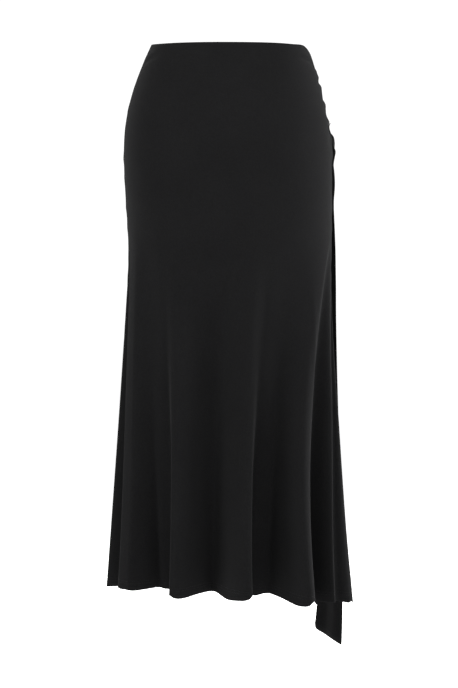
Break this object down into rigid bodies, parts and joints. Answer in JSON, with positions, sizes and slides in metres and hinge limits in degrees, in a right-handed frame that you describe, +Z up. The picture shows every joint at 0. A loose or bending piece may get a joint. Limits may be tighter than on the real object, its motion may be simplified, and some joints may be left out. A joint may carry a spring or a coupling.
{
  "type": "draped midi skirt",
  "caption": "Black jersey midi skirt worn hollow: smooth hip, fluted hem, gathered right side seam and a side cascade hanging to a point.",
  "frame": {"origin": "middle of the waist opening, at the level of the highest point of the waist edge", "axes": "+Z up, -Y out of the back of the skirt, +X to the wearer's right, where the gathered seam and the cascade are"},
  "size_m": [0.4031, 0.2966, 1.0052],
  "materials": {
    "jersey": "matte viscose jersey with a soft bloom at grazing angles",
    "facing": "matte jersey facing over elastic, finely ribbed"
  },
  "bodies": {
    "root": {"back_panel": "jersey", "front_panel": "jersey", "waist_facing": "facing", "side_cascade": "jersey"}
  },
  "joints": []
}
